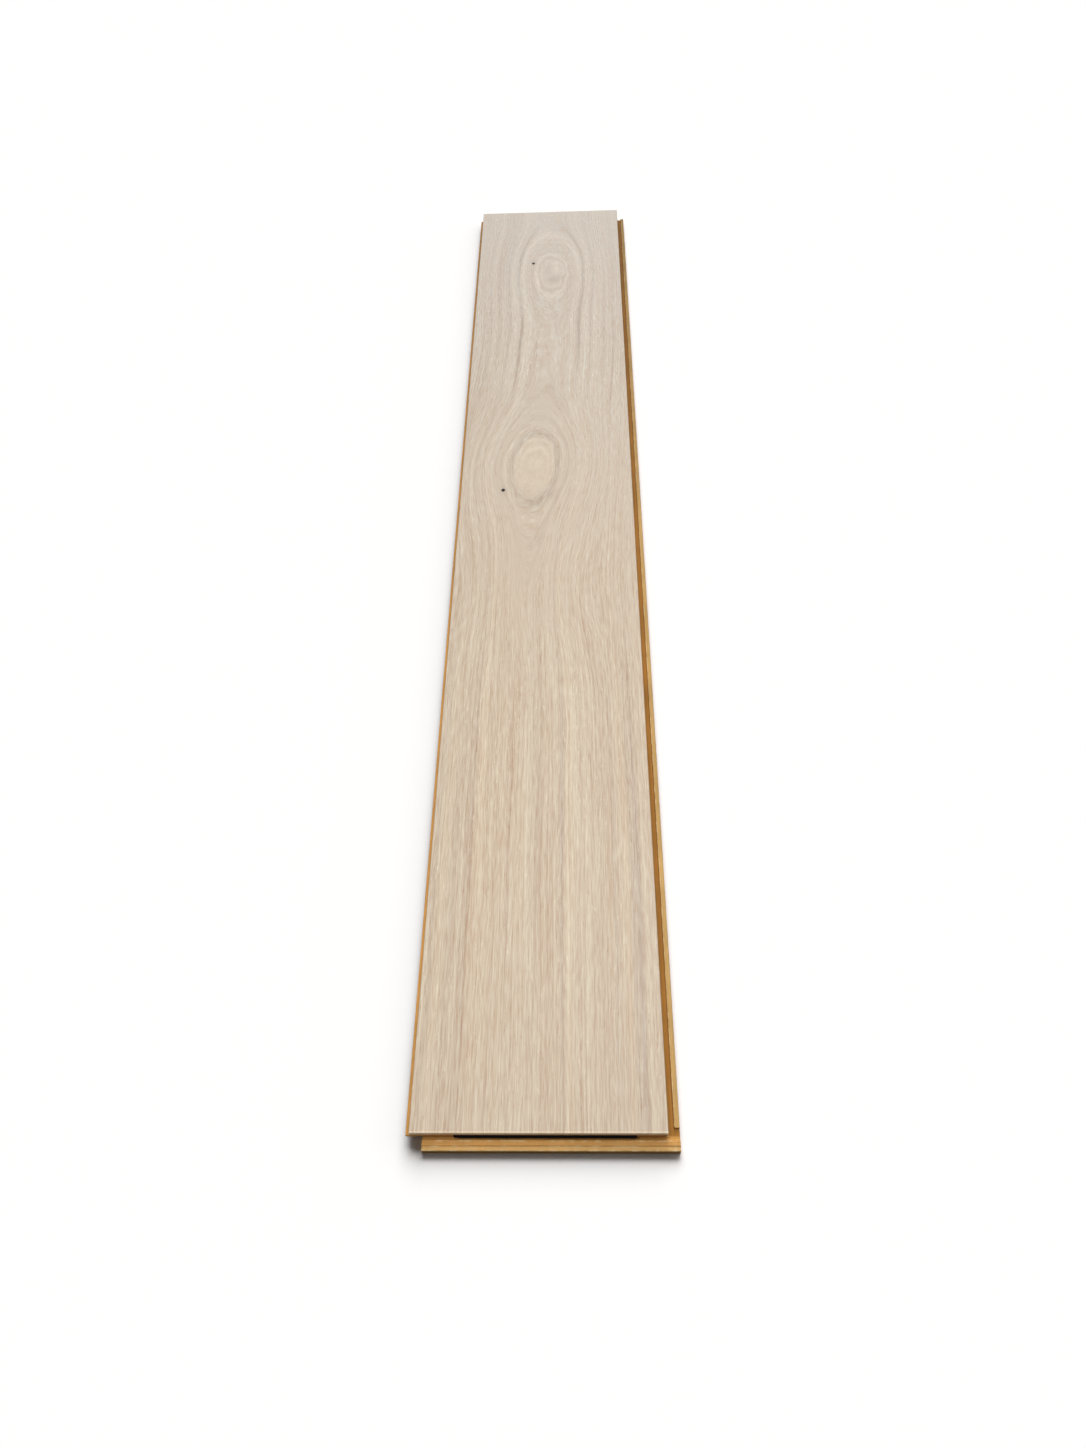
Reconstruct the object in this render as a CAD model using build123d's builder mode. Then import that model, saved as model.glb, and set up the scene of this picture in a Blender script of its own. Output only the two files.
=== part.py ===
"""One-strip parquet board: an oak wear layer glued on a wood-fibre core, with click joints on all four edges.

X runs across the board, with the locking strip at +X and the tongue at -X.
Y runs along it, with the lip and the spring tongue at the front end, -Y.
Z is up. The origin lies on the underside, below the middle of the face.
"""

import os

from build123d import *

# Face and layers
face_width = 180.0
face_length = 1200.0
thickness = 14.0
oak_thickness = 3.5
oak_bevel = 0.4

# What both joints share: the milled floor, the slope of the locking walls and the play
strip_floor = 4.6
wall_slope = 0.5
edge_break = 0.4
play = 0.2

# Largest share of a wall that one rounded or bevelled edge may take
rounding_limit = 0.45

# Long-side joint: tongue on the left, groove and locking strip on the right
upper_lip = 1.5
tongue_reach = 3.0
lower_nose_radius = 1.4
upper_nose_radius = 0.7
groove_step = 0.8
step_start = 0.6
step_run = 1.0
strip_reach = 8.5
strip_ridge_start = 4.4
strip_ridge_height = 1.8
ridge_setback = 6.0
ridge_end_radius = 1.3
tongue_back_trim = 11.0

# End joint: lip at the front, matching rebate at the back
lip_reach = 9.8
lip_ridge_start = 2.2
lip_ridge_height = 2.4
lip_ridge_width = 3.4
ledge_drop = 0.8

# Spring tongue in its slot under the oak, at the front end
slot_cover = 1.0
slot_height = 1.8
slot_depth = 6.0
spring_length = 128.0
spring_offset = 4.7
spring_thickness = 1.6
spring_reach = 1.5
spring_bar = 3.2
spring_bevel = 0.7
spring_end_radius = 1.4
finger_count = 12
finger_width = 0.9
finger_lean = 3.0

# Places that follow from the sizes
half_width = face_width / 2
half_length = face_length / 2
core_top = thickness - oak_thickness
groove_top = core_top - upper_lip
groove_floor = strip_floor + groove_step
groove_depth = tongue_reach + play
strip_ridge_top = strip_floor + strip_ridge_height
lip_ridge_top = strip_floor + lip_ridge_height
lip_ridge_end = lip_ridge_start + wall_slope + lip_ridge_width
lip_ledge = lip_ridge_top - ledge_drop
slot_top = core_top - slot_cover
slot_floor = slot_top - slot_height
strip_edge = half_width + strip_reach
left_recess = -half_width + strip_reach + play
back_recess = half_length - lip_reach - play
tongue_height = groove_top - groove_floor - 2 * play
cut_margin = thickness


def long_side_section():
    """Outline of the core across the board, as (x, z) points from the top right corner downwards."""
    right = half_width
    left = -half_width
    groove_and_strip = [
        (right, core_top),
        (right, groove_top),
        (right - groove_depth, groove_top),
        (right - groove_depth, groove_floor),
        (right + step_start, groove_floor),
        (right + step_start + step_run, strip_floor),
        (right + strip_ridge_start, strip_floor),
        (right + strip_ridge_start + wall_slope, strip_ridge_top),
        (strip_edge - edge_break, strip_ridge_top),
        (strip_edge, strip_ridge_top - edge_break),
        (strip_edge, 0),
    ]
    recess_and_tongue = [
        (left_recess, 0),
        (left_recess, strip_ridge_top + play),
        (left + strip_ridge_start + wall_slope - play, strip_ridge_top + play),
        (left + strip_ridge_start - play, strip_floor + play),
        (left + step_start + step_run + play, strip_floor + play),
        (left + step_start + play, groove_floor + play),
        (left - tongue_reach, groove_floor + play),
        (left - tongue_reach, groove_top - play),
        (left, groove_top - play),
        (left, core_top),
    ]
    return groove_and_strip + recess_and_tongue


def lip_section():
    """Outline of the front lip along the board, as (y, z) points outwards from the front end."""
    outline = [
        (0, 0),
        (lip_reach, 0),
        (lip_reach, lip_ledge - edge_break),
        (lip_reach - edge_break, lip_ledge),
        (lip_ridge_end + ledge_drop, lip_ledge),
        (lip_ridge_end, lip_ridge_top),
        (lip_ridge_start + wall_slope, lip_ridge_top),
        (lip_ridge_start, strip_floor),
        (0, strip_floor),
    ]
    return [(-half_length - out, height) for out, height in outline]


def back_rebate_section():
    """Outline of what is milled from under the back end, as (y, z) points: the lip's form with its play."""
    outline = [
        (-cut_margin, -cut_margin),
        (lip_reach + play, -cut_margin),
        (lip_reach + play, lip_ledge + play),
        (lip_ridge_end + ledge_drop + play, lip_ledge + play),
        (lip_ridge_end + play, lip_ridge_top + play),
        (lip_ridge_start + wall_slope - play, lip_ridge_top + play),
        (lip_ridge_start - play, strip_floor + play),
        (-cut_margin, strip_floor + play),
    ]
    return [(half_length - inward, height) for inward, height in outline]


# Core board: one section along the whole face, with the end joints added and milled
with BuildPart() as core:
    with BuildSketch(Plane.XZ.offset(-half_length)) as across:
        with BuildLine():
            Polyline(long_side_section(), close=True)
        make_face()
        lower_nose = across.vertices().group_by(Axis.X)[0].sort_by(Axis.Y)[0]
        fillet(lower_nose, radius=min(lower_nose_radius, rounding_limit * tongue_height))
        upper_nose = across.vertices().group_by(Axis.X)[0].sort_by(Axis.Y)[-1]
        fillet(upper_nose, radius=min(upper_nose_radius, rounding_limit * tongue_height))
    extrude(amount=face_length)

    # Front lip, from the left recess to the outer edge of the locking strip
    with BuildSketch(Plane.YZ.offset(left_recess)):
        with BuildLine():
            Polyline(lip_section(), close=True)
        make_face()
    extrude(amount=strip_edge - left_recess)

    # The strip's ridge stops short of the front end, with a rounded inner corner
    ridge_inside = half_width + strip_ridge_start
    ridge_stop = -half_length + ridge_setback
    with BuildSketch(Plane.XY.offset(strip_floor)):
        with Locations((ridge_inside, -half_length)):
            Rectangle(
                strip_edge - ridge_inside + cut_margin,
                ridge_setback + ridge_end_radius,
                align=(Align.MIN, Align.MIN),
            )
        with Locations((ridge_inside, ridge_stop)):
            RectangleRounded(
                2 * (strip_edge - ridge_inside + cut_margin),
                2 * face_length,
                ridge_end_radius,
                align=(Align.MIN, Align.MIN),
                mode=Mode.SUBTRACT,
            )
    extrude(amount=strip_ridge_height + cut_margin, mode=Mode.SUBTRACT)

    # Slot for the spring tongue, as long as the tongue with its play
    with BuildSketch(Plane.XY.offset(slot_floor)):
        with Locations((spring_offset, -half_length)):
            Rectangle(spring_length + 2 * play, 2 * slot_depth)
    extrude(amount=slot_height, mode=Mode.SUBTRACT)

    # Rebate under the back end, and the groove that takes a neighbour's spring tongue
    with BuildSketch(Plane.YZ):
        with BuildLine():
            Polyline(back_rebate_section(), close=True)
        make_face()
        with Locations((half_length, (slot_floor + slot_top) / 2)):
            Rectangle(2 * (spring_reach + 2 * play), slot_height + 2 * play)
    extrude(amount=face_width, both=True, mode=Mode.SUBTRACT)

    # Locking strip and tongue are trimmed where the next board's lip comes
    with BuildSketch():
        with Locations((half_width, back_recess)):
            Rectangle(strip_reach + cut_margin, face_length, align=(Align.MIN, Align.MIN))
        with Locations((-half_width, half_length - tongue_back_trim)):
            Rectangle(tongue_reach + cut_margin, face_length, align=(Align.MAX, Align.MIN))
    extrude(amount=thickness, mode=Mode.SUBTRACT)

# Oak wear layer, glued on the core, with its upper edges just broken
with BuildPart() as oak:
    with BuildSketch(Plane.XY.offset(core_top)):
        Rectangle(face_width, face_length)
    extrude(amount=oak_thickness)
    chamfer(oak.faces().sort_by(Axis.Z)[-1].edges(), length=oak_bevel)

# Spring tongue: a bar with a bevelled nose, pushed outwards by leaning fingers behind it
bar_front = -half_length - spring_reach
bar_back = bar_front + spring_bar
slot_back = -half_length + slot_depth
finger_pitch = spring_length / finger_count
finger_run = spring_length - finger_pitch
finger_overlap = finger_width / 2
with BuildPart() as spring:
    with BuildSketch(Plane.XY.offset(slot_floor)) as bar:
        with Locations((spring_offset, bar_front)):
            Rectangle(spring_length, spring_bar, align=(Align.CENTER, Align.MIN))
        fillet(bar.vertices().group_by(Axis.Y)[0], radius=min(spring_end_radius, rounding_limit * spring_bar))
    extrude(amount=spring_thickness)
    nose_edges = spring.faces().sort_by(Axis.Z)[-1].edges().group_by(Axis.Y)[0]
    chamfer(nose_edges, length=min(spring_bevel, rounding_limit * spring_thickness))
    with BuildSketch(Plane.XY.offset(slot_floor)):
        for index in range(finger_count):
            root = spring_offset - finger_run / 2 - finger_lean / 2 + index * finger_run / (finger_count - 1)
            with BuildLine():
                Polyline(
                    (root, bar_back - finger_overlap),
                    (root + finger_width, bar_back - finger_overlap),
                    (root + finger_width + finger_lean, slot_back),
                    (root + finger_lean, slot_back),
                    close=True,
                )
            make_face()
    extrude(amount=spring_thickness)

oak.part.label = "oak_wear_layer"
core.part.label = "core_board"
spring.part.label = "spring_tongue"

os.makedirs("parts", exist_ok=True)
for piece in (oak.part, core.part, spring.part):
    export_step(piece, f"parts/{piece.label}.step")
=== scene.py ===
import math

import bpy
from mathutils import Matrix, Vector


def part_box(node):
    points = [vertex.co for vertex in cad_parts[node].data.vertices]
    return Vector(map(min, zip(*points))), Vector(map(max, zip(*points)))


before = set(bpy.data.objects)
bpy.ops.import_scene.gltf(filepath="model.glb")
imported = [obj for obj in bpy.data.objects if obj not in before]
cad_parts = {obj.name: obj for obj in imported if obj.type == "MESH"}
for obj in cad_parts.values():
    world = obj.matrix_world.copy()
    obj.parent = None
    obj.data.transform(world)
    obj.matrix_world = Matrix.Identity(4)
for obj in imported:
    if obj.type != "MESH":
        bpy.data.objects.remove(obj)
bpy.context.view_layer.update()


# Core board
# One piece of pressed wood fibre, golden brown right through and left bare. Milling cutters ran
# along its four edges, so the joints carry fine tool lines and torn ridges. The low parts of the long
# sides are darker, partly burnished and partly painted shade. The low floor of the ends is lighter,
# which is painted light. A pale line along the lip's slope is painted light, and the front face is
# darkened with painted shade.

class Recipe:
    """Adds nodes to a material or a node group. An input takes a plain value or the socket to link."""

    def __init__(self, tree):
        self.tree = tree

    def node(self, kind, inputs, **settings):
        made = self.tree.nodes.new(kind)
        for name, value in settings.items():
            setattr(made, name, value)
        for key, value in inputs.items():
            if isinstance(value, bpy.types.NodeSocket):
                self.tree.links.new(value, made.inputs[key])
            else:
                made.inputs[key].default_value = value
        return made

    def number(self, operation, *values):
        """Arithmetic on numbers."""
        return self.node("ShaderNodeMath", dict(enumerate(values)), operation=operation).outputs[0]

    def place(self, operation, *values):
        """Arithmetic on places and colours, which are three numbers each."""
        made = self.node("ShaderNodeVectorMath", dict(enumerate(values)), operation=operation)
        return made.outputs["Value" if operation == "DOT_PRODUCT" else "Vector"]

    def parts(self, place):
        """The x, y and z of a place."""
        return self.node("ShaderNodeSeparateXYZ", {0: place}).outputs

    def joined(self, x, y, z):
        """A place from its x, y and z."""
        return self.node("ShaderNodeCombineXYZ", {0: x, 1: y, 2: z}).outputs[0]

    def added(self, values):
        """The sum of a list of numbers."""
        total = values[0]
        for value in values[1:]:
            total = self.number("ADD", total, value)
        return total

    def noise(self, place, size, detail=2.0, roughness=0.5):
        """Cloudy values about 0, within -0.5 and 0.5, in blots of a size in x, y and z."""
        inputs = {"Scale": 1.0, "Detail": detail, "Roughness": roughness}
        inputs["Vector"] = self.place("DIVIDE", place, size)
        return self.number("SUBTRACT", self.node("ShaderNodeTexNoise", inputs).outputs[0], 0.5)

    def step(self, value, low, high):
        """0 up to low, 1 from high on, and a smooth slope between them."""
        inputs = {"Value": value, "From Min": low, "From Max": high}
        return self.node("ShaderNodeMapRange", inputs, interpolation_type="SMOOTHSTEP").outputs[0]

    def mix(self, share, first, second):
        """A colour that goes from the first to the second as the share goes from 0 to 1."""
        return self.node("ShaderNodeMix", {0: share, 6: first, 7: second}, data_type="RGBA").outputs[2]

    def spot(self, place, middle, reach):
        """The soft spot group: 1 in the middle of a spot or streak, fading out over its reach."""
        inputs = {"Place": place, "Middle": middle, "Reach": reach}
        return self.node("ShaderNodeGroup", inputs, node_tree=soft_spot).outputs["Share"]


def make_soft_spot():
    """A node group for spots, streaks and lines: how near a place is to a middle, from 0 to 1."""
    tree = bpy.data.node_groups.new("soft_spot", "ShaderNodeTree")
    for name in ("Place", "Middle", "Reach"):
        tree.interface.new_socket(name, in_out="INPUT", socket_type="NodeSocketVector")
    tree.interface.new_socket("Share", in_out="OUTPUT", socket_type="NodeSocketFloat")
    given = tree.nodes.new("NodeGroupInput").outputs
    recipe = Recipe(tree)
    offset = recipe.place("SUBTRACT", given["Place"], given["Middle"])
    away = recipe.place("DIVIDE", offset, given["Reach"])
    distance = recipe.place("DOT_PRODUCT", away, away)
    share = recipe.number("EXPONENT", recipe.number("MULTIPLY", distance, -1.0))
    tree.links.new(share, tree.nodes.new("NodeGroupOutput").inputs["Share"])
    return tree


def start_material(name, **shader_values):
    """A material with its shader's plain values set, and each point's place in millimetres."""
    material = bpy.data.materials.new(name)
    material.use_nodes = True
    shader = material.node_tree.nodes["Principled BSDF"]
    for socket, value in shader_values.items():
        shader.inputs[socket.replace("_", " ")].default_value = value
    recipe = Recipe(material.node_tree)
    metres = recipe.node("ShaderNodeTexCoord", {}).outputs["Object"]
    millimetres = recipe.place("MULTIPLY", metres, (1000.0, 1000.0, 1000.0))
    return material, recipe, shader, millimetres


def finish_material(recipe, shader, colour, roughness, height, depth):
    """Feeds the shader: colour, roughness, and relief from a height times a depth in metres."""
    bump = recipe.node("ShaderNodeBump", {"Strength": 1.0, "Distance": depth, "Height": height})
    for socket, value in (("Base Color", colour), ("Roughness", roughness), ("Normal", bump.outputs[0])):
        recipe.tree.links.new(value, shader.inputs[socket])


soft_spot = make_soft_spot()
endless = 1e6

# Colours: ends, locking strip, lip ridge, low long sides (darker: burnished and painted shade), low ends
# (lighter: painted light), torn ridges and the painted light on the lip's slope, front face (painted shade)
fibre_light = (0.70, 0.42, 0.155, 1.0)
fibre_strip = (0.56, 0.35, 0.13, 1.0)
fibre_ridge = (0.64, 0.33, 0.098, 1.0)
fibre_burnished_and_shade = (0.40, 0.185, 0.040, 1.0)
fibre_groove_painted_light = (0.56, 0.30, 0.085, 1.0)
fibre_torn_and_lit = (0.84, 0.63, 0.33, 1.0)
fibre_front_shade = (0.06, 0.03, 0.012, 1.0)

# The oak's corners and the milled floor, in millimetres, and each ridge: how far out, and how high
oak_low, oak_high = (corner * 1000 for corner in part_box("oak_wear_layer"))
strip_floor = 4.6
ridge_height = 1.8
strip_ridge = (oak_high.x + 4.9, 6.4)
lip_ridge = (oak_low.y - 2.7, 7.0)
# The lip's slope, where a pale line of painted light lies
slope_painted_light = (oak_low.y - 6.6, 6.5)
lip_ledge = (oak_low.y - 9.4, 6.2)

# Clouds, fibres, tool lines and tears: sizes in millimetres, and how much each changes the tone
cloud_size = (30.0, 30.0, 12.0)
fibre_length = 5.0
fibre_width = 0.5
fibre_depth = 0.4
line_length = 90.0
line_width = 0.5
tear_size = (7.0, 7.0, 3.0)
cloud_change = 0.50
fibre_change = 0.45
line_change = 0.65
# How far the front face is darkened with painted shade
front_shade_share = 0.55
bare_roughness = 0.72
relief_share = 0.6
fibre_relief = 0.0001

core, recipe, shader, place = start_material("wood_fibre_core", Specular_IOR_Level=0.1)
x, y, z = recipe.parts(place)
on_end = recipe.step(recipe.number("ABSOLUTE", y), oak_high.y - 1.0, oak_high.y)
clouds = recipe.noise(place, cloud_size)
fibres_across = recipe.noise(place, (fibre_length, fibre_width, fibre_depth), detail=1.0)
fibres_along = recipe.noise(place, (fibre_width, fibre_length, fibre_depth), detail=1.0)
fibres = recipe.number("MAXIMUM", fibres_across, fibres_along)
lines_along = recipe.noise(place, (line_width, line_length, line_width))
lines_across = recipe.noise(place, (line_length, line_width, line_width))
turned_lines = recipe.number("SUBTRACT", lines_across, lines_along)
tool_lines = recipe.number("MULTIPLY_ADD", turned_lines, on_end, lines_along)
raised = recipe.step(z, strip_floor, strip_floor + ridge_height)
# Low long sides take a darker colour, partly burnished and partly painted shade; low ends a lighter one,
# painted light
floors_shade_and_light = recipe.mix(on_end, fibre_burnished_and_shade, fibre_groove_painted_light)
ground = recipe.mix(raised, floors_shade_and_light, recipe.mix(on_end, fibre_strip, fibre_light))
ground = recipe.mix(recipe.step(z, lip_ledge[1] + 0.2, lip_ledge[1] + 0.5), ground, fibre_ridge)
# The front end face is darkened towards near black: painted shade
front_face = recipe.step(y, lip_ledge[0] - 0.2, lip_ledge[0] - 0.35)
ground = recipe.mix(recipe.number("MULTIPLY", front_face, front_shade_share), ground, fibre_front_shade)
tone = recipe.added([
    recipe.number("MULTIPLY", clouds, cloud_change),
    recipe.number("MULTIPLY", fibres, fibre_change),
    recipe.number("MULTIPLY", tool_lines, line_change),
    1.0,
])
ground = recipe.place("MULTIPLY", ground, tone)

# Torn pale fibres along the ridges of the locking strip and of the lip, and a pale line of painted light
# along the lip's slope
ridge_lines = [
    recipe.spot(place, (strip_ridge[0], 0.0, strip_ridge[1]), (0.5, endless, 0.5)),
    recipe.spot(place, (0.0, lip_ridge[0], lip_ridge[1]), (endless, 1.0, 0.6)),
    recipe.spot(place, (0.0, slope_painted_light[0], slope_painted_light[1]), (endless, 0.5, 0.5)),
    recipe.spot(place, (0.0, lip_ledge[0], lip_ledge[1]), (endless, 0.5, 0.5)),
]
tears = recipe.step(recipe.noise(place, tear_size, detail=3.0), -0.08, 0.16)
torn_and_painted_light = recipe.number("MULTIPLY", recipe.added(ridge_lines), tears)
colour = recipe.mix(torn_and_painted_light, ground, fibre_torn_and_lit)
roughness = recipe.number("MULTIPLY_ADD", fibres, 0.3, bare_roughness)
height = recipe.number("MULTIPLY", recipe.number("ADD", fibres, tool_lines), relief_share)
finish_material(recipe, shader, colour, roughness, height, fibre_relief)
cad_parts["core_board"].material_slots[0].material = core


# Oak wear layer
# A flat-sawn oak lamella glued on the core, brushed and finished with a matt, whitening lacquer. The
# trunk's heart came near the face in two places, so the rings close into two eyes in the back half.

# The oak's tone, and how far each colour follows the fine grain and the wide grain, at the front and back
oak_tone = (0.586, 0.468, 0.341)
fine_hue_front = (0.87, 1.36, 1.62, 1.0)
fine_hue_back = (0.78, 1.14, 1.59, 1.0)
wide_hue_front = (1.18, 1.22, 1.00, 1.0)
wide_hue_back = (0.91, 1.05, 1.21, 1.0)

# Changes of hue in the near eye and along the grain, and the tone of the pin knots
warm_hue = (0.01, 0.00, -0.04)
cool_hue = (-0.006, 0.0, 0.035)
knot_tone = (0.014, 0.011, 0.010, 1.0)

oak, recipe, shader, place = start_material("brushed_oak")
x, y, z = recipe.parts(place)


def along(middle, reach):
    """1 at a middle along the board, fading out over a reach."""
    return recipe.spot(place, (0.0, middle, 0.0), (endless, reach, endless))


def weighted(pairs):
    """The sum of values, each times its weight."""
    return recipe.added([recipe.number("MULTIPLY", value, weight) for value, weight in pairs])


def root(value):
    """The number of the same sign that gives a value when raised to the bulge power."""
    size = recipe.number("POWER", recipe.number("ABSOLUTE", value), 1.0 / bulge_power)
    return recipe.number("MULTIPLY", recipe.number("SIGN", value), size)


def scaled(value, share, change):
    """A value that grows by a change where the share is 1."""
    return recipe.number("MULTIPLY", value, recipe.number("MULTIPLY_ADD", share, change, 1.0))


# Growth rings: they run along beside the heart, bulge round the two eyes and draw in between them.
# They wander a little, and the heart itself lies further to the right towards the back.
wander = weighted([
    (recipe.noise(place, (60.0, 220.0, 60.0)), 6.0),
    (recipe.noise(place, (16.0, 60.0, 16.0)), 1.8),
])
front_heart_x = -16.0
heart_x = recipe.number("ADD", front_heart_x, weighted([
    (along(-90.0, 80.0), -3.0),
    (recipe.step(y, 0.0, 340.0), 18.0),
]))
aside = recipe.number("SUBTRACT", recipe.number("ADD", x, wander), heart_x)
to_side = recipe.number("ABSOLUTE", aside)
beside_heart = recipe.number("MULTIPLY", recipe.step(to_side, 16.0, 36.0), recipe.step(to_side, 88.0, 46.0))
pushed = weighted([(along(95.0, 75.0), -0.12), (along(-85.0, 85.0), 0.2)])
aside = scaled(aside, recipe.number("MULTIPLY", beside_heart, pushed), 1.0)

# Wood above the heart, in millimetres to the bulge power: little of it opens the rings into an eye
bulge_power = 2.5
plain_cover = 7370.0
heart_cover = weighted([
    (along(89.0, 74.0), -5870.0),
    (recipe.step(y, 120.0, 230.0), 3990.0),
    (along(345.0, 38.0), 700.0),
    (along(452.0, 60.0), -3400.0),
    (recipe.step(y, 480.0, 580.0), 6600.0),
    (recipe.number("MULTIPLY", along(89.0, 70.0), recipe.noise(place, (18.0, 30.0, 18.0))), 1000.0),
    (recipe.number("MULTIPLY", along(447.0, 45.0), recipe.noise(place, (12.0, 20.0, 12.0))), 2000.0),
])
away = recipe.number("POWER", recipe.number("ABSOLUTE", aside), bulge_power)
beside = recipe.number("ADD", away, heart_cover)
below = recipe.number("SUBTRACT", oak_high.z, z)
flow = recipe.number("ADD", root(beside), below)
ring = recipe.number("ADD", root(recipe.number("ADD", beside, plain_cover)), below)
flow_place = recipe.joined(flow, y, aside)
ring_place = recipe.joined(ring, y, aside)
side_place = recipe.joined(ring, y, recipe.number("SIGN", aside))

# Grain layers: width across the grain, length along it, reach to the side, and strength
fine_layers = [
    (0.7, 14.0, 5.0, 0.46),
    (1.3, 70.0, 6.0, 0.22),
    (2.0, 280.0, 8.0, 0.23),
    (3.2, 700.0, 14.0, 0.15),
]
wide_layers = [
    (6.5, 600.0, 40.0, 0.075),
    (13.0, 800.0, 60.0, 0.045),
    (30.0, 1500.0, 90.0, 0.025),
]
fine_grain = weighted([
    (recipe.noise(flow_place, (width, length, side), detail=0.0), strength)
    for width, length, side, strength in fine_layers
])
wide_grain = weighted([
    (recipe.noise(flow_place, (width, length, side), detail=0.0), strength)
    for width, length, side, strength in wide_layers
])

# Bold rings: which side of the heart, ring, its half-width, middle and reach along, and tone
bold_rings = [
    (-1.0, 74.8, 2.0, -330.0, 240.0, -0.06),
    (-1.0, 69.4, 1.6, -400.0, 240.0, 0.05),
    (-1.0, 62.5, 1.6, -420.0, 220.0, -0.06),
    (-1.0, 52.0, 1.2, -340.0, 280.0, -0.08),
    (-1.0, 47.0, 1.9, -330.0, 330.0, 0.07),
    (-1.0, 47.2, 2.2, 80.0, 120.0, 0.085),
    (-1.0, 43.0, 1.0, 85.0, 80.0, 0.06),
    (-1.0, 55.0, 1.2, 90.0, 130.0, 0.06),
    (-1.0, 59.0, 1.4, 120.0, 120.0, -0.07),
    (1.0, 45.0, 0.9, -380.0, 330.0, -0.11),
    (1.0, 48.4, 1.7, -380.0, 330.0, 0.06),
    (1.0, 48.2, 2.1, 70.0, 130.0, 0.075),
    (1.0, 62.0, 1.6, 90.0, 150.0, -0.08),
    (1.0, 69.4, 1.8, -400.0, 240.0, -0.05),
    (1.0, 75.7, 1.3, -450.0, 180.0, 0.05),
    (1.0, 79.3, 1.5, -430.0, 190.0, -0.07),
    (1.0, 87.7, 1.6, -400.0, 240.0, 0.08),
    (1.0, 92.4, 1.4, -430.0, 200.0, -0.09),
    (1.0, 96.6, 1.9, -400.0, 280.0, -0.13),
    (-1.0, 51.0, 0.9, 310.0, 95.0, -0.31),
    (1.0, 51.3, 1.0, 345.0, 85.0, -0.31),
    (-1.0, 47.4, 0.9, 330.0, 150.0, 0.07),
    (1.0, 47.4, 0.9, 400.0, 150.0, 0.07),
    (-1.0, 47.4, 1.0, 500.0, 60.0, 0.10),
    (1.0, 46.6, 1.0, 505.0, 60.0, 0.10),
    (-1.0, 51.0, 0.9, 500.0, 70.0, -0.22),
    (1.0, 51.0, 0.9, 500.0, 70.0, -0.24),
    (-1.0, 56.0, 1.1, 420.0, 130.0, 0.07),
    (-1.0, 60.5, 1.3, 380.0, 150.0, -0.12),
    (-1.0, 67.0, 1.3, 300.0, 150.0, 0.05),
    (-1.0, 71.0, 1.4, 420.0, 140.0, -0.11),
    (-1.0, 79.0, 1.6, 330.0, 180.0, -0.09),
    (1.0, 55.5, 1.1, 320.0, 130.0, 0.07),
    (1.0, 61.0, 1.3, 430.0, 140.0, -0.11),
    (1.0, 66.0, 1.2, 360.0, 150.0, 0.05),
    (1.0, 73.0, 1.5, 380.0, 170.0, -0.10),
    (1.0, 82.0, 1.6, 300.0, 180.0, -0.07),
]
bold = weighted([
    (recipe.spot(side_place, (radius, middle, side), (half_width, reach, 0.5)), tone)
    for side, radius, half_width, middle, reach, tone in bold_rings
])

# Eyes: a dark ring round each heart with thin rings about it. The near one has a pale, warm, mottled middle.
near_eye = recipe.spot(place, (-12.0, 89.0, oak_high.z), (48.0, 95.0, endless))
near_eye_back = recipe.spot(place, (-8.0, 120.0, oak_high.z), (40.0, 45.0, endless))
far_eye = recipe.spot(place, (-1.5, 450.0, oak_high.z), (34.0, 62.0, endless))
near_middle = recipe.step(ring, 27.4, 24.0)
far_middle = recipe.number("MULTIPLY", recipe.step(ring, 40.0, 38.3), recipe.step(far_eye, 0.35, 0.6))
mottle = recipe.noise(place, (5.0, 8.0, 5.0), detail=2.0, roughness=0.6)

# Rings of the eyes: ring, its half-width, where it shows, and tone
eye_rings = [
    (18.5, 0.6, near_eye_back, 0.07),
    (20.5, 0.6, near_eye_back, -0.06),
    (22.3, 0.5, near_eye_back, 0.10),
    (24.0, 0.5, near_eye_back, -0.06),
    (25.4, 0.5, near_eye_back, 0.08),
    (28.4, 1.5, near_eye, -0.18),
    (31.8, 0.7, near_eye, 0.06),
    (34.2, 0.8, near_eye, -0.07),
    (37.2, 0.8, near_eye, 0.05),
    (40.6, 0.9, near_eye, -0.05),
    (37.5, 0.3, far_eye, 0.08),
    (38.3, 0.35, far_eye, -0.11),
    (39.3, 0.4, far_eye, 0.14),
    (41.2, 0.5, far_eye, -0.08),
    (43.3, 0.6, far_eye, 0.06),
]

# Smudges: place across and along the board, reach across and along it, and tone
smudges = [
    (-5.0, -300.0, 8.0, 330.0, -0.05),
    (-38.0, -290.0, 9.0, 330.0, 0.03),
    (-11.0, 34.0, 8.0, 6.0, -0.09),
    (5.0, 42.0, 5.0, 7.0, -0.14),
    (-24.0, 50.0, 5.0, 10.0, -0.07),
    (14.0, 190.0, 8.0, 20.0, -0.05),
    (4.0, 220.0, 6.0, 14.0, -0.07),
    (2.0, 300.0, 18.0, 70.0, 0.04),
    (5.0, 437.0, 8.0, 7.0, -0.16),
    (-3.0, 462.0, 4.0, 12.0, -0.08),
    (14.0, 444.0, 8.0, 5.0, -0.09),
    (-14.0, 440.0, 2.5, 22.0, 0.10),
    (9.0, 466.0, 2.5, 14.0, 0.09),
]


def ring_line(radius, half_width):
    """1 on a ring, fading out over its half-width."""
    return recipe.spot(ring_place, (radius, 0.0, 0.0), (half_width, endless, endless))


rings_tone = weighted([
    (recipe.number("MULTIPLY", ring_line(radius, half_width), eye), tone)
    for radius, half_width, eye, tone in eye_rings
])
smudge_tone = weighted([
    (recipe.spot(place, (smudge_x, smudge_y, oak_high.z), (across, reach, endless)), tone)
    for smudge_x, smudge_y, across, reach, tone in smudges
])
middle_tone = weighted([(recipe.number("MULTIPLY", mottle, near_middle), 0.26), (near_middle, 0.06)])
figure = recipe.added([bold, rings_tone, smudge_tone, middle_tone])

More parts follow.
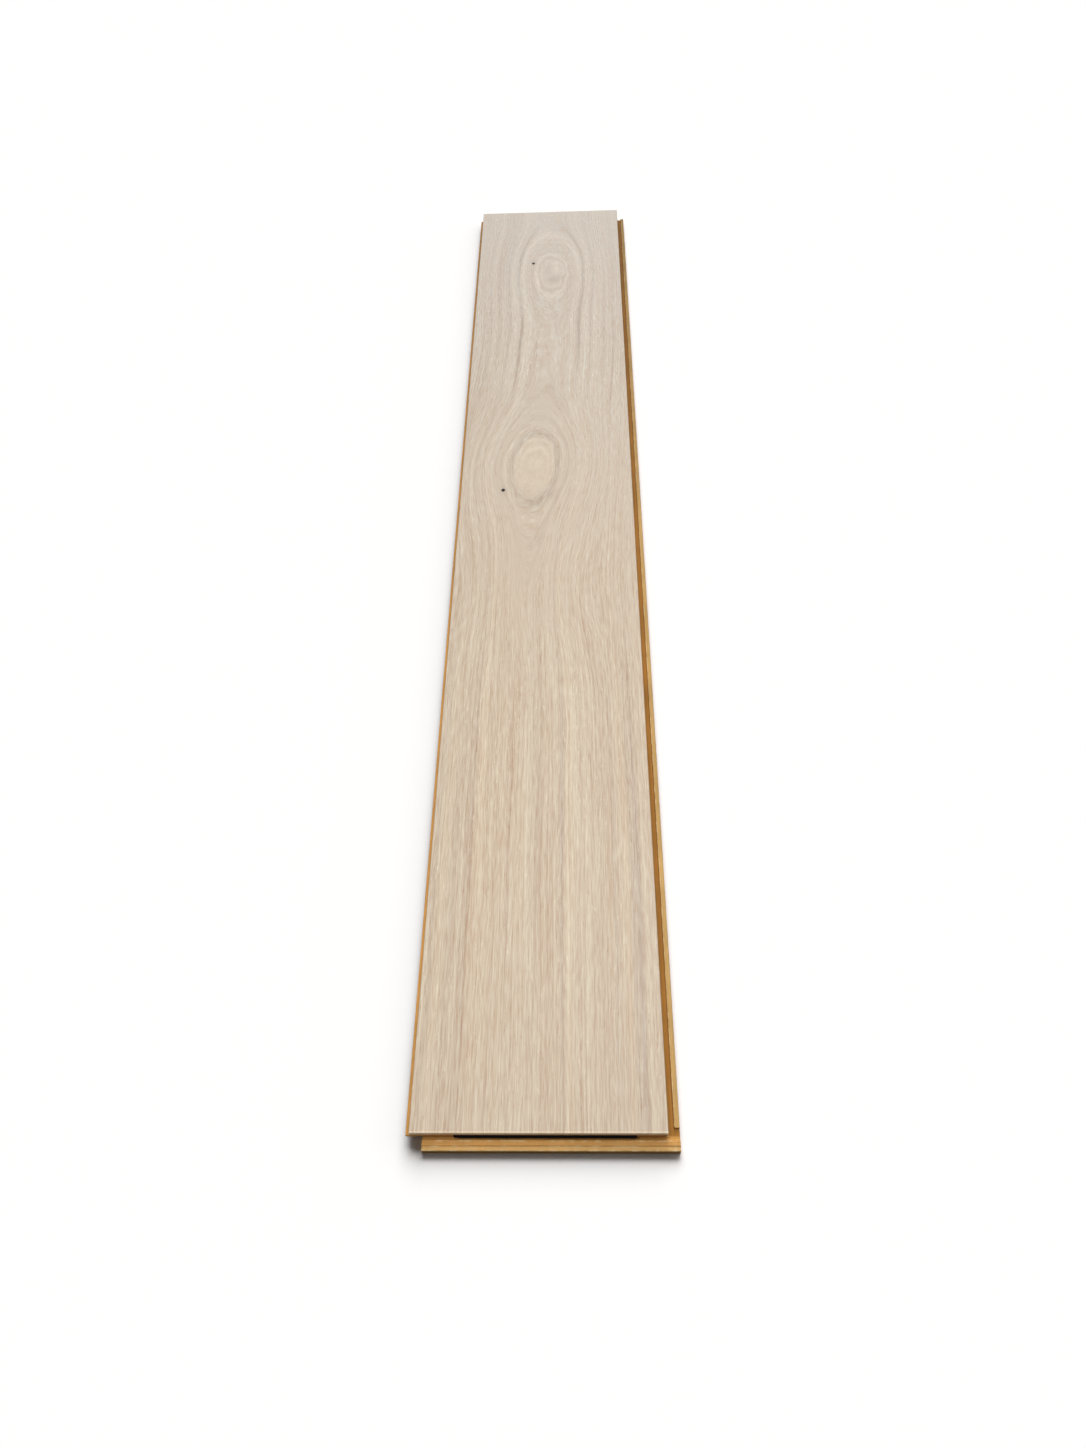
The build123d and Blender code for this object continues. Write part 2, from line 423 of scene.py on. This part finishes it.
# Pores: short pale and dark dashes along the grain, and rows of them in each year's early wood
cluster_size = (7.0, 100.0, 30.0)
pale_dash_size = (0.9, 7.0, 3.0)
dark_dash_size = (0.8, 5.5, 3.0)
dark_dash_shift = (30.0, 7.0, 3.0)
year_width = 2.7
year_change = 2.0
year_change_size = (11.0, 300.0, 40.0)
open_row_size = (8.0, 260.0, 30.0)
cluster = recipe.step(recipe.noise(flow_place, cluster_size), -0.12, 0.15)
pale_dashes = recipe.step(recipe.noise(flow_place, pale_dash_size, detail=1.0), 0.10, 0.25)
pale_pores = recipe.number("MULTIPLY", pale_dashes, cluster)
year_drift = recipe.noise(ring_place, year_change_size)
year = recipe.number("MULTIPLY_ADD", year_drift, year_change, recipe.number("DIVIDE", ring, year_width))
year = recipe.number("FRACT", year)
early = recipe.number("MULTIPLY", recipe.step(year, 0.0, 0.1), recipe.step(year, 0.6, 0.1))
open_rows = recipe.step(recipe.noise(ring_place, open_row_size), -0.1, 0.2)
open_rows = recipe.number("MULTIPLY", open_rows, recipe.step(ring, 26.0, 29.0))
pore_rows = recipe.number("MULTIPLY", early, open_rows)
other_place = recipe.place("ADD", flow_place, dark_dash_shift)
dark_dashes = recipe.step(recipe.noise(other_place, dark_dash_size, detail=1.0), 0.10, 0.28)
dark_pores = recipe.number("MULTIPLY", dark_dashes, recipe.number("MULTIPLY_ADD", early, 0.7, 0.3))
pores = weighted([(pale_pores, 0.22), (dark_pores, -0.20), (pore_rows, -0.08)])

# The grain is calmer in the eyes and at the near eye's pointed ends, and bolder towards the back. A thin
# strip of the face along the front edge is paler: a painted highlight.
wedges = [
    recipe.spot(place, (-4.0, 190.0, oak_high.z), (18.0, 45.0, endless)),
    recipe.spot(place, (-25.0, -45.0, oak_high.z), (15.0, 75.0, endless)),
]
calm = recipe.number("MINIMUM", recipe.added([near_middle, far_middle] + wedges), 1.0)
bolder = recipe.step(y, -100.0, 420.0)
fine_tone = scaled(scaled(recipe.number("ADD", fine_grain, pores), calm, -0.6), bolder, 1.1)
wide_tone = scaled(scaled(wide_grain, calm, -0.8), bolder, 1.9)
# A painted highlight along the front edge
front_edge = recipe.step(y, oak_low.y + 1.7, oak_low.y + 1.1)
painted_edge_highlight = recipe.number("MULTIPLY", front_edge, 0.22)
wide_tone = recipe.added([wide_tone, scaled(figure, bolder, 0.8), painted_edge_highlight])

# Colour: the tones in their hues, with a drift between cream and blue-grey that follows neither
to_back = recipe.step(y, -300.0, 150.0)
fine_hue = recipe.mix(to_back, fine_hue_front, fine_hue_back)
wide_hue = recipe.mix(to_back, wide_hue_front, wide_hue_back)
tint = recipe.place("MULTIPLY_ADD", warm_hue, near_middle, (1.0, 1.0, 1.0))
drift_size = (3.0, 250.0, 20.0)
drift = recipe.noise(flow_place, drift_size, detail=1.0)
tint = recipe.place("MULTIPLY_ADD", cool_hue, drift, tint)
tint = recipe.place("MULTIPLY_ADD", wide_hue, wide_tone, tint)
tint = recipe.place("MULTIPLY_ADD", fine_hue, fine_tone, tint)
colour = recipe.place("MULTIPLY", tint, oak_tone)

# Two pin knots: place and radius. Each is dull, a little longer than wide, and has a faint grey halo.
pins = [((-45.5, 51.0), 2.2), ((-20.5, 476.0), 2.1)]
pin_length = 1.2
halo_width = 2.6
halo_length = 3.6
halo_share = 0.12
lacquer_roughness = 0.5
oak_relief = 0.00008
roughness = recipe.number("MULTIPLY_ADD", fine_grain, 0.3, lacquer_roughness)
for middle, radius in pins:
    halo = recipe.spot(place, (*middle, oak_high.z), (halo_width * radius, halo_length * radius, endless))
    colour = recipe.mix(recipe.number("MULTIPLY", halo, halo_share), colour, knot_tone)
    pin = recipe.spot(place, (*middle, oak_high.z), (radius, pin_length * radius, endless))
    pin = recipe.step(pin, 0.30, 0.60)
    colour = recipe.mix(pin, colour, knot_tone)
    roughness = recipe.number("MAXIMUM", roughness, pin)
height = weighted([(fine_grain, 0.8), (wide_grain, 0.8), (dark_pores, -0.6), (pale_pores, -0.2)])
finish_material(recipe, shader, colour, roughness, height, oak_relief)
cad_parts["oak_wear_layer"].material_slots[0].material = oak


# Spring tongue
# A strip of black moulded plastic in a slot of the core's front end. It springs back when the next
# board is folded down, and snaps out into the groove in that board's back end.

plastic_black = (0.001, 0.001, 0.001, 1.0)
plastic_rubbed = (0.003, 0.003, 0.003, 1.0)
pimple_size = (0.25, 0.25, 0.25)
rub_size = (9.0, 1.0, 1.0)
plastic_roughness = 0.6
plastic_relief = 0.00002

plastic, recipe, shader, place = start_material("black_plastic", Specular_IOR_Level=0.05)
pimples = recipe.noise(place, pimple_size, detail=2.0)
rubbed = recipe.noise(place, rub_size, detail=3.0)
plastic_tone = recipe.mix(recipe.step(rubbed, -0.2, 0.3), plastic_black, plastic_rubbed)
roughness = recipe.number("MULTIPLY_ADD", rubbed, 0.25, plastic_roughness)
finish_material(recipe, shader, plastic_tone, roughness, pimples, plastic_relief)
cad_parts["spring_tongue"].material_slots[0].material = plastic


# Studio floor
# A wide plain white sheet that the board lies on. Looked at straight it is a little past white, so that
# only the board's own shadow shows on it. It throws back a little under half of the light.

def seen_directly(recipe):
    """1 for what the camera, a reflection or clear glass sees, and 0 for light that is thrown back."""
    path = recipe.node("ShaderNodeLightPath", {}).outputs
    seen = recipe.number("MAXIMUM", path["Is Camera Ray"], path["Is Glossy Ray"])
    return recipe.number("MAXIMUM", seen, path["Is Transmission Ray"])


sheet_size = 60.0
sheet_bounce = (0.45, 0.45, 0.45, 1.0)
sheet_seen = (1.03, 1.03, 1.03, 1.0)
bpy.ops.object.select_all(action="DESELECT")
bpy.ops.mesh.primitive_plane_add(size=sheet_size)
floor = bpy.context.object
floor.name = "studio_floor"
sheet = bpy.data.materials.new("white_sheet")
sheet.use_nodes = True
sheet.node_tree.nodes.clear()
recipe = Recipe(sheet.node_tree)
white = recipe.mix(seen_directly(recipe), sheet_bounce, sheet_seen)
matt = recipe.node("ShaderNodeBsdfDiffuse", {"Color": white})
recipe.node("ShaderNodeOutputMaterial", {"Surface": matt.outputs[0]})
floor.data.materials.append(sheet)


# Studio light
# A white tent lights everything a little. A soft box above the front half, a fill box at the left front and
# a low lamp behind, which lays a grey sheen on the far half, light only the board. One more lamp behind, and
# a warm one to the right, light only the floor and draw the board's shadow on it.

tent_share = 0.06
side_share = 0.15
shadow_share = 1.0 - tent_share - side_share
sheen_share = 0.29
box_share = 0.455
fill_share = 0.24

tent = bpy.data.worlds.new("white_tent")
tent.use_nodes = True
tent.node_tree.nodes.clear()
recipe = Recipe(tent.node_tree)
strength = recipe.number("MULTIPLY_ADD", seen_directly(recipe), 1.0 - tent_share, tent_share)
glow = recipe.node("ShaderNodeBackground", {"Color": (1.0, 1.0, 1.0, 1.0), "Strength": strength})
recipe.node("ShaderNodeOutputWorld", {"Surface": glow.outputs[0]})
bpy.context.scene.world = tent


def light_only(lamp, lit_objects):
    """Lets a lamp light the given objects and nothing else."""
    lit = bpy.data.collections.new(f"lit_by_{lamp.name}")
    for each in lit_objects:
        lit.objects.link(each)
    lamp.light_linking.receiver_collection = lit


def add_far_lamp(name, heading, height, width, share):
    """A soft lamp far away: heading from the back towards the right, height and width in degrees.

    The share is its part of the light on a level surface, where 1 makes white just white.
    """
    turn, rise = math.radians(heading), math.radians(height)
    towards = Vector((math.sin(turn) * math.cos(rise), math.cos(turn) * math.cos(rise), math.sin(rise)))
    bpy.ops.object.light_add(type="SUN")
    lamp = bpy.context.object
    lamp.name = name
    lamp.data.energy = share * math.pi / towards.z
    lamp.data.angle = math.radians(width)
    lamp.rotation_euler = towards.to_track_quat("Z", "Y").to_euler()
    return lamp


def add_soft_box(name, place, target, size, share):
    """A square lamp that faces a target, with its share of the light on a level surface there."""
    away = Vector(place) - Vector(target)
    bpy.ops.object.light_add(type="AREA", location=place)
    lamp = bpy.context.object
    lamp.name = name
    lamp.data.size = size
    lamp.data.energy = share * math.pi**2 * away.length**3 / away.z
    lamp.rotation_euler = away.to_track_quat("Z", "Y").to_euler()
    return lamp


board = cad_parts.values()
front_half = (0.0, -0.50, 0.014)
warm_white = (1.0, 0.88, 0.80)
side_lamp = add_far_lamp("side_lamp", heading=62.0, height=30.0, width=60.0, share=side_share)
shadow_lamp = add_far_lamp("shadow_lamp", heading=2.0, height=40.0, width=46.0, share=shadow_share)
sheen_lamp = add_far_lamp("sheen_lamp", heading=2.0, height=28.0, width=30.0, share=sheen_share)
soft_box = add_soft_box("soft_box", (0.20, -0.20, 0.97), target=front_half, size=0.5, share=box_share)
fill_box = add_soft_box("fill_box", (-0.45, -0.70, 0.95), target=front_half, size=0.4, share=fill_share)
side_lamp.data.color = warm_white
for lamp in (side_lamp, shadow_lamp):
    light_only(lamp, [floor])
for lamp in (sheen_lamp, soft_box, fill_box):
    light_only(lamp, board)


# Camera
# Held above the front end and a little to the right, looking down along the board. It leans slightly
# to one side, as a camera held by hand does.

camera_place = Vector((0.03356, -0.79437, 0.77093))
camera_down = math.radians(54.328)
camera_left = math.radians(3.57)
camera_roll = math.radians(-3.621)
camera_lens = 26.24
film_width = 36.0
bpy.ops.object.camera_add()
camera = bpy.context.object
camera.data.sensor_width = film_width
camera.data.lens = camera_lens
camera.matrix_world = (
    Matrix.Translation(camera_place)
    @ Matrix.Rotation(camera_left, 4, "Z")
    @ Matrix.Rotation(math.radians(90.0) - camera_down, 4, "X")
    @ Matrix.Rotation(camera_roll, 4, "Z")
)
bpy.context.scene.camera = camera
bpy.context.scene.view_settings.view_transform = "Standard"
